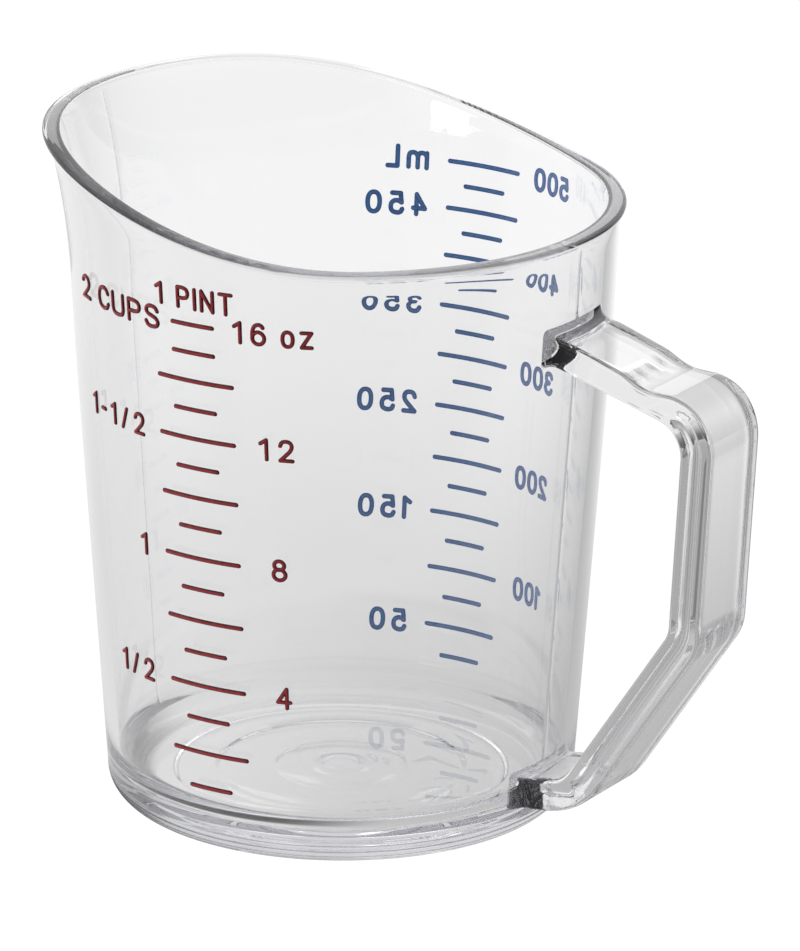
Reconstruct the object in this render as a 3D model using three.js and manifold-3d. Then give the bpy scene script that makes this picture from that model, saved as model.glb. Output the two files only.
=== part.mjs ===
import * as THREE from 'three';
import Module from 'manifold-3d';
import { mergeVertices } from 'three/addons/utils/BufferGeometryUtils.js';

// A clear one-pint measuring cup: a tapered vessel with a rising rim and a pouring lip,
// an angled strap handle, and two raised scales, ounces on one side and millilitres on the other.
// Millimetres, +Z up. The vessel is first made about the Z axis, with the handle towards +X.

const wasm = await Module();
wasm.setup();

// Vessel wall, all radii measured from the vessel's axis
const baseRadius = 39.7;
const wallTaper = 0.07;
const tuckStart = 70;
const tuckRate = 0.00042;
const wallThickness = 2.2;

// Floor and foot
const floorHeight = 5.3;
const floorFillet = 5.4;
const footCorner = 5;
const footRingWidth = 6;
const footRecess = 0.8;

// Rim, seen from the side as an S curve that climbs from the handle to the lip.
// Its low end lies above the topmost mark, so the cup is as tall as its capacity needs.
const rimAboveTopMark = 6.6;
const rimRise = 12;
const riseStart = 26;
const riseLength = 76;
const lipOverhang = 0.9;
const lipUnderside = 0.4;
const rimCrown = 0.9;

// Pouring lip, an outward flare that fades round the rim and down the wall
const spoutFlare = 3.6;
const spoutSharpness = 2.5;
const flareDepth = 17.5;

// Handle strap, its places given from the wall outwards and from the rim downwards
const strapWidth = 16.3;
const strapEdgeRound = 0.8;
const armThickness = 5.1;
const gripThickness = 6;
const legThickness = 5.85;
const heelThickness = 5.4;
const armBelowRim = 17.6;
const armDrop = 7.6;
const gripTopReach = 28.4;
const gripLength = 38.6;
const gripFootReach = 29;
const heelHeight = 10.8;
const heelReach = 10.35;
const heelDrop = 1.6;
const upperInnerRadius = 6;
const upperOuterRadius = 10.5;
const lowerInnerRadius = 5;
const lowerOuterRadius = 9;
const heelInnerRadius = 5;
const heelOuterRadius = 14;

// Thumb rest on top of the arm: a sag along the arm that runs out in the corner, and a dip in it,
// both placed by their share of the arm's length
const thumbDip = 0.9;
const thumbDipAt = 0.79;
const thumbDipSpan = 0.26;
const armSag = 0.75;
const sagFullAt = 0.7;
const sagEasesAt = 0.95;
const sagEaseSpan = 0.3;

// Handle roots and side grooves
const rootFillet = 1.9;
const lowerFilletShare = 0.5;
const seatGap = 0.3;
const grooveWidth = 2.4;
const grooveDepth = 1.1;
const grooveUpperEnd = 2;
const grooveLowerEnd = 11;

// Scale marks
const ounceVolume = 29573.5;
const ounceCount = 16;
const millilitreVolume = 1000;
const millilitreStep = 25;
const millilitreCount = 20;
const longMark = 15;
const shortMark = 8.5;
const markBreadth = 0.9;
const markRaise = 0.4;

// Smoothness
const roundSegments = 64;
const arcSteps = 4;
const edgeSteps = 2;
const cornerSteps = 6;
const stretchSteps = [12, 10, 8, 3];
const wallShares = [0.4, 0.75, 0.88];
const flareShares = [1, 0.75, 0.55, 0.38];
const seatRows = 14;
const markSteps = 5;
const volumeSlice = 0.25;

const clearPlastic = new THREE.MeshStandardMaterial({
  color: 0xe6e9ec,
  roughness: 0.06,
  metalness: 0,
  transparent: true,
  opacity: 0.35,
});
const redInk = new THREE.MeshStandardMaterial({ color: 0x8c1f24, roughness: 0.45, metalness: 0 });
const blueInk = new THREE.MeshStandardMaterial({ color: 0x2f66a8, roughness: 0.45, metalness: 0 });

// Shape of the wall

function smoothStep(value) {
  const t = THREE.MathUtils.clamp(value, 0, 1);
  return t * t * (3 - 2 * t);
}

function wallRadius(z) {
  const above = Math.max(0, z - tuckStart);
  return baseRadius + wallTaper * z - tuckRate * above * above;
}

function innerRadius(z) {
  const rise = z - floorHeight;
  const inset = rise < floorFillet
    ? floorFillet - Math.sqrt(floorFillet ** 2 - (floorFillet - rise) ** 2)
    : 0;
  return wallRadius(z) - wallThickness - inset;
}

// The height to which a volume of liquid fills the cup
function heightOfVolume(volume) {
  let left = volume;
  let z = floorHeight;
  while (true) {
    const area = Math.PI * innerRadius(z + volumeSlice / 2) ** 2;
    if (left <= area * volumeSlice) return z + left / area;
    left -= area * volumeSlice;
    z += volumeSlice;
  }
}

const millilitreMarkVolume = millilitreStep * millilitreVolume;
const fullVolume = Math.max(ounceCount * ounceVolume, millilitreCount * millilitreMarkVolume);
const rimLow = heightOfVolume(fullVolume) + rimAboveTopMark;
const rimRound = (wallThickness + lipOverhang) / 2;

function rimHeight(x) {
  return rimLow + rimRise * smoothStep((riseStart - x) / riseLength);
}

function flare(angle, below) {
  const turn = (1 - Math.cos(angle)) / 2;
  const fade = (1 + Math.cos(Math.PI * Math.min(1, below / flareDepth))) / 2;
  return spoutFlare * Math.pow(turn, spoutSharpness) * fade;
}

// A point near the rim, below it by one distance and out from the wall's outer face by another
function rimPoint(angle, out, below) {
  let radius = baseRadius;
  let z = rimLow;
  for (let pass = 0; pass < 8; pass++) {
    z = rimHeight(radius * Math.cos(angle)) - below;
    radius = wallRadius(z) + flare(angle, below) + out;
  }
  return [radius, z];
}

function arc(steps, from, to, place) {
  return Array.from({ length: steps + 1 }, (_, i) => place(from + ((to - from) * i) / steps));
}

// The vessel's profile, as a list of functions from the angle to a radius and a height
function vesselProfile() {
  const footRadius = wallRadius(footCorner) - footCorner;
  const ringInside = footRadius - footRingWidth;
  const innerFoot = wallRadius(floorHeight + floorFillet) - wallThickness - floorFillet;
  const fixed = (r, z) => () => [r, z];
  const underside = [
    fixed(ringInside - footRecess, footRecess),
    fixed(ringInside, 0),
  ];
  const corner = arc(arcSteps, 0, Math.PI / 2, (a) =>
    fixed(footRadius + footCorner * Math.sin(a), footCorner * (1 - Math.cos(a)))
  );
  const wallSide = (out, lowest) => [
    ...wallShares.map((share) => (angle) => {
      const z = THREE.MathUtils.lerp(lowest, rimPoint(angle, out, flareDepth)[1], share);
      return [wallRadius(z) + out, z];
    }),
    ...flareShares.map((share) => (angle) => rimPoint(angle, out, flareDepth * share)),
  ];
  const outerWall = wallSide(0, footCorner);
  const innerWall = wallSide(-wallThickness, floorHeight + floorFillet).reverse();
  const lip = arc(arcSteps, 0, 1, (t) => (angle) =>
    rimPoint(angle, lipOverhang * smoothStep(t), rimCrown + lipUnderside * (1 - t))
  );
  const rimTop = arc(arcSteps - 1, 0, Math.PI / 2, (a) => (angle) =>
    rimPoint(angle, lipOverhang - rimRound * (1 - Math.cos(a)), rimCrown * (1 - Math.sin(a)))
  );
  const innerEdge = arc(arcSteps - 1, 0, Math.PI / 2, (a) => (angle) =>
    rimPoint(angle, rimRound * (1 - Math.sin(a)) - wallThickness, rimCrown * (1 - Math.cos(a)))
  );
  const fillet = arc(arcSteps, 0, Math.PI / 2, (a) =>
    fixed(innerFoot + floorFillet * Math.cos(a), floorHeight + floorFillet * (1 - Math.sin(a)))
  );
  return [
    ...underside,
    ...corner,
    ...outerWall,
    ...lip,
    ...rimTop.slice(1),
    ...innerEdge.slice(1),
    ...innerWall,
    ...fillet,
  ];
}

function meshFrom(positions, indices) {
  const geometry = new THREE.BufferGeometry();
  geometry.setAttribute('position', new THREE.Float32BufferAttribute(positions, 3));
  geometry.setIndex(indices);
  geometry.computeVertexNormals();
  return geometry;
}

// Turn a profile about the Z axis and close it with a pole at each end
function revolve(profile, startHeight, endHeight) {
  const positions = [0, 0, startHeight];
  const indices = [];
  for (let i = 0; i < roundSegments; i++) {
    const angle = (2 * Math.PI * i) / roundSegments;
    for (const point of profile) {
      const [radius, z] = point(angle);
      positions.push(radius * Math.cos(angle), radius * Math.sin(angle), z);
    }
  }
  positions.push(0, 0, endHeight);
  const last = positions.length / 3 - 1;
  const rows = profile.length;
  for (let i = 0; i < roundSegments; i++) {
    const here = 1 + i * rows;
    const next = 1 + ((i + 1) % roundSegments) * rows;
    indices.push(0, next, here);
    for (let row = 0; row + 1 < rows; row++) {
      indices.push(here + row, next + row, next + row + 1);
      indices.push(here + row, next + row + 1, here + row + 1);
    }
    indices.push(here + rows - 1, next + rows - 1, last);
  }
  return meshFrom(positions, indices);
}

function vesselGeometry() {
  return revolve(vesselProfile(), footRecess, floorHeight);
}

// Handle path: five corner points in the plane y = 0, joined by straight stretches.
// The inner and outer faces follow it half a thickness to each side, each with its own corner radius.

function handleCorners() {
  const armHeight = rimLow - armBelowRim;
  const gripTop = armHeight - armDrop;
  const gripFoot = gripTop - gripLength;
  const heelEnd = heelHeight - heelDrop;
  const corner = (z, reach, thickness, innerRadius, outerRadius) => ({
    point: new THREE.Vector2(wallRadius(z) + reach, z),
    thickness,
    innerRadius,
    outerRadius,
  });
  return [
    corner(armHeight, 0, armThickness, 0, 0),
    corner(gripTop, gripTopReach, gripThickness, upperInnerRadius, upperOuterRadius),
    corner(gripFoot, gripFootReach, gripThickness, lowerInnerRadius, lowerOuterRadius),
    corner(heelHeight, heelReach, legThickness, heelInnerRadius, heelOuterRadius),
    corner(heelEnd, 0, heelThickness, 0, 0),
  ];
}

function leftOf(direction) {
  return new THREE.Vector2(-direction.y, direction.x);
}

// One face of the strap in side view: side is -1 for the inner face and 1 for the outer one
function handleFace(side) {
  const corners = handleCorners();
  const directions = corners.slice(1).map((c, i) => c.point.clone().sub(corners[i].point).normalize());
  const shifted = corners.map((c, i) => {
    const before = leftOf(directions[Math.max(0, i - 1)]);
    const after = leftOf(directions[Math.min(i, directions.length - 1)]);
    const middle = before.clone().add(after).normalize();
    return c.point.clone().addScaledVector(middle, (side * c.thickness) / 2 / middle.dot(before));
  });
  const face = [];
  let cursor = shifted[0];
  for (let i = 1; i < shifted.length; i++) {
    const into = shifted[i].clone().sub(shifted[i - 1]).normalize();
    const isLast = i === shifted.length - 1;
    const out = isLast ? into : shifted[i + 1].clone().sub(shifted[i]).normalize();
    const turn = Math.acos(THREE.MathUtils.clamp(into.dot(out), -1, 1));
    const radius = side < 0 ? corners[i].innerRadius : corners[i].outerRadius;
    const arcStart = shifted[i].clone().addScaledVector(into, -radius * Math.tan(turn / 2));
    const centre = arcStart.clone().addScaledVector(leftOf(into), -radius);
    face.push(...arc(stretchSteps[i - 1], 0, 1, (t) => cursor.clone().lerp(arcStart, t)));
    if (isLast) break;
    const bend = arc(cornerSteps, 0, 1, (t) => arcStart.clone().rotateAround(centre, -turn * t));
    face.push(...bend.slice(1, -1));
    cursor = bend.at(-1);
  }
  return face;
}

// Depth of the thumb rest at a share of the arm's length
function thumbRest(share) {
  const fromDip = Math.min(1, Math.abs(share - thumbDipAt) / thumbDipSpan);
  const dip = thumbDip * Math.cos((Math.PI / 2) * fromDip) ** 2;
  const sag = armSag * smoothStep(share / sagFullAt) * (1 - smoothStep((share - sagEasesAt) / sagEaseSpan));
  return dip + sag;
}

// How far a root's fillet stands out at a distance from the wall
function rootFlare(distance) {
  const t = THREE.MathUtils.clamp(distance, 0, rootFillet);
  return rootFillet - Math.sqrt(rootFillet ** 2 - (rootFillet - t) ** 2);
}

// Half outline of the strap, from inner to outer face, with a groove in its side
function strapOutline(halfWidth, inner, outer, groove) {
  const middle = (inner + outer) / 2;
  const round = strapEdgeRound;
  const innerEdge = arc(edgeSteps, 0, Math.PI / 2, (a) => [
    halfWidth - round * (1 - Math.sin(a)),
    inner + round * (1 - Math.cos(a)),
  ]);
  const outerEdge = arc(edgeSteps, 0, Math.PI / 2, (a) => [
    halfWidth - round * (1 - Math.cos(a)),
    outer - round * (1 - Math.sin(a)),
  ]);
  const channel = [
    [halfWidth, middle - grooveWidth / 2],
    [halfWidth - groove, middle - grooveWidth / 4],
    [halfWidth - groove, middle + grooveWidth / 4],
    [halfWidth, middle + grooveWidth / 2],
  ];
  return [...innerEdge, ...channel, ...outerEdge];
}

function handleGeometry() {
  const inner = handleFace(-1);
  const outer = handleFace(1);
  const stations = inner.map((point, i) => ({ inner: point, outer: outer[i] }));
  const armEnd = stretchSteps[0];
  let travelled = 0;
  let previous = null;
  for (const station of stations) {
    const middle = station.inner.clone().add(station.outer).divideScalar(2);
    if (previous) travelled += middle.distanceTo(previous);
    station.travelled = travelled;
    previous = middle;
  }
  const length = travelled;
  const armLength = stations[armEnd].travelled;
  const grooveStart = armLength + grooveUpperEnd;
  const grooveEnd = length - grooveLowerEnd;

  const ring = (place, across, thickness, along, fromWall) => {
    const swell = rootFlare(fromWall);
    const isUpperRoot = along < length / 2;
    const innerSwell = swell * (isUpperRoot ? lowerFilletShare : 1);
    const outerSwell = swell * (isUpperRoot ? 1 : lowerFilletShare);
    const fromGroove = Math.min(along - grooveStart, grooveEnd - along);
    const groove = grooveDepth * smoothStep(fromGroove / grooveWidth);
    const outerFace = thickness - thumbRest(along / armLength) + outerSwell;
    const half = strapOutline(strapWidth / 2 + swell, -innerSwell, outerFace, groove);
    const other = half.map(([y, v]) => [-y, v]).reverse();
    const wrap = 1 - smoothStep(fromWall / (2 * rootFillet));
    const rootHeight = place.y + (across.y * thickness) / 2;
    return [...half, ...other].map(([y, v]) => {
      const x = place.x + across.x * v;
      const z = place.y + across.y * v;
      const wall = wallRadius(z);
      const bend = wall - Math.sqrt(Math.max(0, wall ** 2 - y ** 2));
      const lean = wall - wallRadius(rootHeight) - across.x * (v - thickness / 2);
      return [x + wrap * (lean - bend), y, z];
    });
  };

  // The roots run a little way into the wall and are cut back to it afterwards
  const rootSteps = [-2 * seatGap, seatGap];
  rootSteps.push(...arc(3, 0.25, 1, (t) => seatGap + rootFillet * t));
  const rootRing = (station, neighbour, step, isEnd) => {
    const direction = neighbour.inner.clone().sub(station.inner).normalize();
    const place = station.inner.clone().addScaledVector(direction, step);
    const across = station.outer.clone().sub(station.inner);
    const thickness = across.length();
    return ring(place, across.normalize(), thickness, isEnd ? length - step : step, step - seatGap);
  };
  const clearOfRoot = seatGap + rootFillet * 1.3;
  const rings = rootSteps.map((step) => rootRing(stations[0], stations[1], step, false));
  for (const station of stations) {
    const fromWall = Math.min(station.travelled, length - station.travelled);
    if (fromWall < clearOfRoot) continue;
    const across = station.outer.clone().sub(station.inner);
    const thickness = across.length();
    rings.push(
      ring(station.inner, across.normalize(), thickness, station.travelled, fromWall - seatGap)
    );
  }
  for (const step of rootSteps.toReversed()) {
    rings.push(rootRing(stations.at(-1), stations.at(-2), step, true));
  }
  return loft(rings);
}

// Join rings of equal length into one closed skin, with a fan over each end
function loft(rings) {
  const size = rings[0].length;
  const positions = rings.flat(2);
  const indices = [];
  for (let r = 0; r + 1 < rings.length; r++) {
    for (let i = 0; i < size; i++) {
      const a = r * size + i;
      const b = r * size + ((i + 1) % size);
      indices.push(a, b, b + size, a, b + size, a + size);
    }
  }
  const closeEnd = (ring, start, flip) => {
    const middle = positions.length / 3;
    const sum = ring.reduce((t, p) => t.map((v, i) => v + p[i]), [0, 0, 0]);
    positions.push(...sum.map((v) => v / size));
    for (let i = 0; i < size; i++) {
      const a = start + i;
      const b = start + ((i + 1) % size);
      indices.push(...(flip ? [middle, a, b] : [middle, b, a]));
    }
  };
  closeEnd(rings[0], 0, false);
  closeEnd(rings.at(-1), (rings.length - 1) * size, true);
  return meshFrom(positions, indices);
}

function toSolid(geometry) {
  const bare = geometry.clone();
  bare.deleteAttribute('normal');
  const merged = mergeVertices(bare, 1e-5);
  return new wasm.Manifold(new wasm.Mesh({
    numProp: 3,
    vertProperties: new Float32Array(merged.attributes.position.array),
    triVerts: new Uint32Array(merged.index.array),
  }));
}

function fromSolid(solid) {
  const mesh = solid.getMesh();
  return meshFrom(Array.from(mesh.vertProperties), Array.from(mesh.triVerts));
}

// The space of the vessel and the gap round it, which cuts the handle's roots to their seats
function seatSpace() {
  const profile = arc(seatRows, 0, rimLow, (z) => () => [wallRadius(z) + seatGap, z]);
  return revolve(profile, 0, rimLow);
}

// The outer face's radius, flare included
function outerRadius(angle, z) {
  const rim = rimHeight(wallRadius(z) * Math.cos(angle));
  return wallRadius(z) + flare(angle, rim - z);
}

// One raised mark: a bar with round ends that follows the wall, centred on an angle and a height
function markGeometry(centreAngle, height, length) {
  const half = length / 2;
  const end = markBreadth / 2;
  const places = [
    ...arc(edgeSteps, 0.15, 1, (t) => -half + end * (1 - Math.cos((Math.PI / 2) * t))),
    ...arc(markSteps, -1, 1, (t) => t * (half - end)).slice(1, -1),
    ...arc(edgeSteps, 0.15, 1, (t) => half - end * (1 - Math.cos((Math.PI / 2) * t))).reverse(),
  ];
  const seat = seatGap;
  const rings = places.map((along) => {
    const intoEnd = Math.max(0, Math.abs(along) - (half - end));
    const rise = Math.sqrt(end ** 2 - intoEnd ** 2);
    const corners = [
      [seat, rise],
      [seat + markRaise, rise * 0.8],
      [seat + markRaise, -rise * 0.8],
      [seat, -rise],
    ];
    return corners.map(([out, up]) => {
      const angle = centreAngle + along / wallRadius(height);
      const radius = outerRadius(angle, height + up) + out;
      return [radius * Math.cos(angle), radius * Math.sin(angle), height + up];
    });
  });
  return loft(rings);
}

// Assembly

const cup = new THREE.Group();

function addPiece(name, geometry, material) {
  const mesh = new THREE.Mesh(geometry, material);
  mesh.name = name;
  cup.add(mesh);
  return mesh;
}

addPiece('cup_body', vesselGeometry(), clearPlastic);
addPiece('handle', fromSolid(toSolid(handleGeometry()).subtract(toSolid(seatSpace()))), clearPlastic);

const ounceSide = -Math.PI / 2;
const millilitreSide = Math.PI / 2;

// The marks of one scale, at every step of volume, long or short
function addMarks(prefix, count, side, volumeStep, ink, isLong) {
  for (let i = 1; i <= count; i++) {
    const length = isLong(i) ? longMark : shortMark;
    const height = heightOfVolume(i * volumeStep);
    addPiece(`${prefix}_${String(i).padStart(2, '0')}`, markGeometry(side, height, length), ink);
  }
}

addMarks('ounce_mark', ounceCount, ounceSide, ounceVolume, redInk, (i) => i % 2 === 0 && i < ounceCount);
addMarks('ml_mark', millilitreCount, millilitreSide, millilitreMarkVolume, blueInk, (i) => i % 2 === 0);

// The origin lies on the table under the middle of the whole cup, handle included
const extent = new THREE.Box3().setFromObject(cup);
cup.position.x = -(extent.min.x + extent.max.x) / 2;

const object = new THREE.Group();
object.add(cup);

export default object;
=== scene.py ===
# %% [markdown]
# # A clear measuring cup with two inked scales
# The cup is one injection moulding in clear plastic: vessel, pouring lip, foot ring and strap handle
# come out of one mould. The two scales are low raised marks with ink on their tops.
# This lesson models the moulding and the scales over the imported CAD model, in metres, +Z up, with
# the handle towards +X, the ounce scale on the -Y side and the millilitre scale on the +Y side.

# %% Open the frame
import bmesh
import bpy
import math
from mathutils import Matrix, Vector


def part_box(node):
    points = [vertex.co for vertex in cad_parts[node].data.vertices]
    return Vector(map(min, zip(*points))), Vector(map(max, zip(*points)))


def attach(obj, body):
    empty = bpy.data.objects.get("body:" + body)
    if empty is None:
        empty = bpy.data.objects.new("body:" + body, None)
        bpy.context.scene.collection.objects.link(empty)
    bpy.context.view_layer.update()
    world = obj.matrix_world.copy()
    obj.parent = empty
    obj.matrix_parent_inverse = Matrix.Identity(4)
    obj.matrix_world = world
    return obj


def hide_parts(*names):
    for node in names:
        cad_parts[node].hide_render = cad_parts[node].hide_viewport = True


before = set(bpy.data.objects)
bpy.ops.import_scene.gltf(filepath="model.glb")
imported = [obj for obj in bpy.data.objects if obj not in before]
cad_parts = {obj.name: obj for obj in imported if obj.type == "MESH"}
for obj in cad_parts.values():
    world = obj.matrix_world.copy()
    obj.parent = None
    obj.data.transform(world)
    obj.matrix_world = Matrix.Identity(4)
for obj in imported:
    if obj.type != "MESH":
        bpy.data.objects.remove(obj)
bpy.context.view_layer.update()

# %% [markdown]
# The vessel's axis doesn't stand at x = 0, because the origin lies under the middle of the whole cup,
# handle included. The marks are centred on the axis, so the middle of one gives its x. Lengths below
# are in millimetres, as on a drawing, and turn to metres where a mesh is made.

# %% Units, axis and small helpers
MM = 0.001
# Nearer than this, in millimetres, two places count as one
TOUCHING = 0.01
mark_low, mark_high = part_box("ounce_mark_08")
AXIS_X = (mark_low.x + mark_high.x) / 2


def clamp01(t):
    return max(0.0, min(1.0, t))


def smooth_step(t):
    t = clamp01(t)
    return t * t * (3 - 2 * t)


def arc(steps, start, end, place):
    """The values of place at even steps of its parameter."""
    return [place(start + (end - start) * i / steps) for i in range(steps + 1)]


def only(obj):
    """Make this the one selected and active object."""
    bpy.ops.object.select_all(action="DESELECT")
    obj.select_set(True)
    bpy.context.view_layer.objects.active = obj


def edit(obj, mode="VERT"):
    """Go into edit mode on the object with everything deselected."""
    only(obj)
    bpy.ops.object.mode_set(mode="EDIT")
    bpy.ops.mesh.select_mode(type=mode)
    bpy.ops.mesh.select_all(action="DESELECT")


def done():
    bpy.ops.object.mode_set(mode="OBJECT")


def select_where(obj, kind, test):
    """In edit mode, select the vertices, edges or faces for which the test holds."""
    grid = bmesh.from_edit_mesh(obj.data)
    for item in getattr(grid, kind):
        item.select_set(bool(test(item)))
    grid.select_flush_mode()
    bmesh.update_edit_mesh(obj.data)


print("axis at x =", round(AXIS_X / MM, 3), "mm")

# %% [markdown]
# ## The vessel's shape
# The wall is a cone that tucks in a little towards the top. Its slope is the draft that lets the
# moulding leave its mould. The rim climbs from the handle to the lip as an S curve in side view, and
# the lip is an outward flare that fades round the rim and down the wall. These rules are all that the
# vessel, the handle's roots and the scales need to agree on.

# %% The wall and the rim as rules, in millimetres from the axis
BASE_RADIUS, TAPER = 39.7, 0.07
TUCK_START, TUCK_RATE = 70, 0.00042
WALL = 2.2
FLOOR, FLOOR_FILLET = 5.3, 5.4
FOOT_CORNER, FOOT_RING = 5, 6
RIM_LOW = 106.067
RIM_RISE, RISE_START, RISE_LENGTH = 12, 26, 76
FLARE, FLARE_SHARPNESS, FLARE_DEPTH = 3.6, 2.5, 25


def wall_radius(z):
    return BASE_RADIUS + TAPER * z - TUCK_RATE * max(0, z - TUCK_START) ** 2


def rim_height(x):
    return RIM_LOW + RIM_RISE * smooth_step((RISE_START - x) / RISE_LENGTH)


def flare(angle, below):
    """How far the wall leans out for the lip, by the angle and the distance below the rim."""
    turn = (1 - math.cos(angle)) / 2
    fade = max(0, 1 - below / FLARE_DEPTH) ** 2
    return FLARE * turn ** FLARE_SHARPNESS * fade


def outer_radius(angle, z):
    return wall_radius(z) + flare(angle, rim_height(wall_radius(z) * math.cos(angle)) - z)


print("rim from", RIM_LOW, "to", RIM_LOW + RIM_RISE, "mm")

# %% [markdown]
# A turned profile is the natural way to a vessel: half a section is drawn and spun about the axis.
# The profile runs from the middle of the underside over the foot ring, up the wall, over the rim
# with its small outward bead, and down the inside to the middle of the floor. The rim is nearly flat
# on top, with a crisp inner edge and a rounded outer corner, and the wall swells a little below the
# bead, where it squashes the numbers that are seen through it. The rim is drawn level here, because a
# spin can only give a level one. The underside has two low turned steps and, in the middle, the round
# scar of the gate through which the mould was filled.

# %% Draw the vessel's profile
BEAD, BEAD_FACE, BEAD_UNDERSIDE = 0.87, 0.95, 0.35
OUTER_CORNER, OUTER_DROP, INNER_CORNER, RIM_CROWN = 1.2, 0.7, 0.22, 0.05
SWELL, SWELL_LENGTH = 0.18, 4.2
# How far the plain wall's rows keep away from the shapes at their ends
PAST_CORNER, PAST_FLARE, PAST_SWELL, PAST_RIM = 1.5, 1, 0.6, 1.8
# Radius and height above the table of the underside's points, from the gate's scar outwards
UNDERSIDE = [
    (0, 0.9), (1.4, 0.92), (2.6, 0.96), (3.1, 0.9), (3.35, 0.8), (6, 0.8), (10.6, 0.8), (11, 0.76),
    (11.4, 0.7), (11.8, 0.68), (16, 0.68), (20.4, 0.68), (20.9, 0.64), (21.5, 0.5), (22, 0.46),
    (25, 0.46)]
RING_SLOPE = 1.2
FLOOR_EASE, FLOOR_LEVER, FLOOR_RADII = 1.3, 0.6, (24, 14, 6, 0)


def vessel_profile():
    foot = wall_radius(FOOT_CORNER) - FOOT_CORNER
    ring = foot - FOOT_RING
    top = RIM_LOW
    outer_at = lambda z, out=0: (wall_radius(z) + out, z)
    points = list(UNDERSIDE)
    points += arc(10, 0, 1, lambda t: (
        ring - RING_SLOPE * (1 - t), UNDERSIDE[-1][1] * (1 - smooth_step(t))))
    points += arc(36, 0, math.pi / 2, lambda a: (
        foot + FOOT_CORNER * math.sin(a), FOOT_CORNER * (1 - math.cos(a))))
    points += arc(30, FOOT_CORNER + PAST_CORNER, top - FLARE_DEPTH - PAST_FLARE, outer_at)
    underside = top - BEAD_FACE - BEAD_UNDERSIDE
    points += arc(18, top - FLARE_DEPTH, underside - SWELL_LENGTH - PAST_SWELL, outer_at)
    # The wall thickens a little below the bead, then the bead steps out of it
    points += arc(12, 1, 0, lambda t: outer_at(underside - SWELL_LENGTH * t, SWELL * (1 - t) ** 3))
    points += arc(8, 0, 1, lambda t: outer_at(
        underside + BEAD_UNDERSIDE * t, SWELL + (BEAD - SWELL) * smooth_step(t)))[1:]
    flat = top - RIM_CROWN
    points += arc(12, 0, math.pi / 2, lambda a: outer_at(
        flat - OUTER_DROP * (1 - math.sin(a)), BEAD - OUTER_CORNER * (1 - math.cos(a))))
    half = (WALL + BEAD - OUTER_CORNER - INNER_CORNER) / 2
    points += arc(8, -1, 1, lambda t: outer_at(
        flat + RIM_CROWN * (1 - t * t), BEAD - OUTER_CORNER - half * (1 + t)))[1:-1]
    points += arc(6, 0, math.pi / 2, lambda a: outer_at(
        flat - INNER_CORNER * (1 - math.cos(a)), INNER_CORNER * (1 - math.sin(a)) - WALL))
    inner_at = lambda z: outer_at(z, -WALL)
    points += arc(18, top - PAST_RIM, top - FLARE_DEPTH, inner_at)
    points += arc(30, top - FLARE_DEPTH - PAST_FLARE, FLOOR + FLOOR_FILLET + PAST_FLARE, inner_at)
    # The inner corner eases out of the wall and into the floor as a cubic curve
    start = Vector(inner_at(FLOOR + FLOOR_FILLET))
    end = Vector((start.x - FLOOR_FILLET * FLOOR_EASE, FLOOR))
    corner = Vector((start.x - TAPER * FLOOR_FILLET, FLOOR))
    handles = start.lerp(corner, FLOOR_LEVER), end.lerp(corner, FLOOR_LEVER)
    points += arc(24, 0, 1, lambda t: tuple(
        start * (1 - t) ** 3 + handles[0] * (3 * t * (1 - t) ** 2)
        + handles[1] * (3 * t ** 2 * (1 - t)) + end * t ** 3))
    points += [(radius, FLOOR) for radius in (end.x - PAST_CORNER, *FLOOR_RADII)]
    return points


profile = vessel_profile()
vessel_mesh = bpy.data.meshes.new("vessel")
vessel_mesh.from_pydata(
    [(r * MM, 0, z * MM) for r, z in profile], [(i, i + 1) for i in range(len(profile) - 1)], [])
vessel = bpy.data.objects.new("vessel", vessel_mesh)
bpy.context.collection.objects.link(vessel)
print("profile points:", len(profile))

# %% [markdown]
# The spin turns the profile round the axis, as a lathe would turn the mould's core and cavity. The
# last copy of the profile falls on the first, and its ends fall together on the axis, so the doubles
# are merged to close the mesh.

# %% Spin the profile
SPIN_STEPS, SAME_PLACE = 256, 2e-6
edit(vessel)
bpy.ops.mesh.select_all(action="SELECT")
bpy.ops.mesh.spin(steps=SPIN_STEPS, angle=2 * math.pi, center=(0, 0, 0), axis=(0, 0, 1))
bpy.ops.mesh.select_all(action="SELECT")
bpy.ops.mesh.remove_doubles(threshold=SAME_PLACE)
done()
print("vessel vertices:", len(vessel.data.vertices))

# %% [markdown]
# The rim's climb and the lip's flare are given to the spun mesh vertex by vertex. Rows close to the
# rim keep their distance below it, so that the bead stays the same all round, and the rows further
# down are spread over the height that is left.

# %% Raise the rim and flare the lip
KEEP_BELOW, STILL_BELOW = 26.5, 14
ROUNDS = 8


def lift(angle, out, z):
    """The radius and height of a point that was drawn at height z under a level rim.

    The rim's height depends on the radius and the radius on the height, so they settle in rounds.
    """
    radius, height = wall_radius(z) + out, z
    for _ in range(ROUNDS):
        rim = rim_height(radius * math.cos(angle))
        if RIM_LOW - z <= KEEP_BELOW:
            height = rim - (RIM_LOW - z)
        elif z > STILL_BELOW:
            height = STILL_BELOW + (z - STILL_BELOW) * (rim - KEEP_BELOW - STILL_BELOW) / (
                RIM_LOW - KEEP_BELOW - STILL_BELOW)
        radius = wall_radius(height) + flare(angle, rim - height) + out
    return radius, height


for vertex in vessel.data.vertices:
    x, y, z = vertex.co / MM
    if z > STILL_BELOW:
        angle = math.atan2(y, x)
        radius, height = lift(angle, math.hypot(x, y) - wall_radius(z), z)
        vertex.co = Vector((radius * math.cos(angle), radius * math.sin(angle), height)) * MM
edit(vessel)
bpy.ops.mesh.select_all(action="SELECT")
bpy.ops.mesh.normals_make_consistent(inside=False)
done()
print("vessel top in mm:", round(max(v.co.z for v in vessel.data.vertices) / MM, 2))

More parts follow.
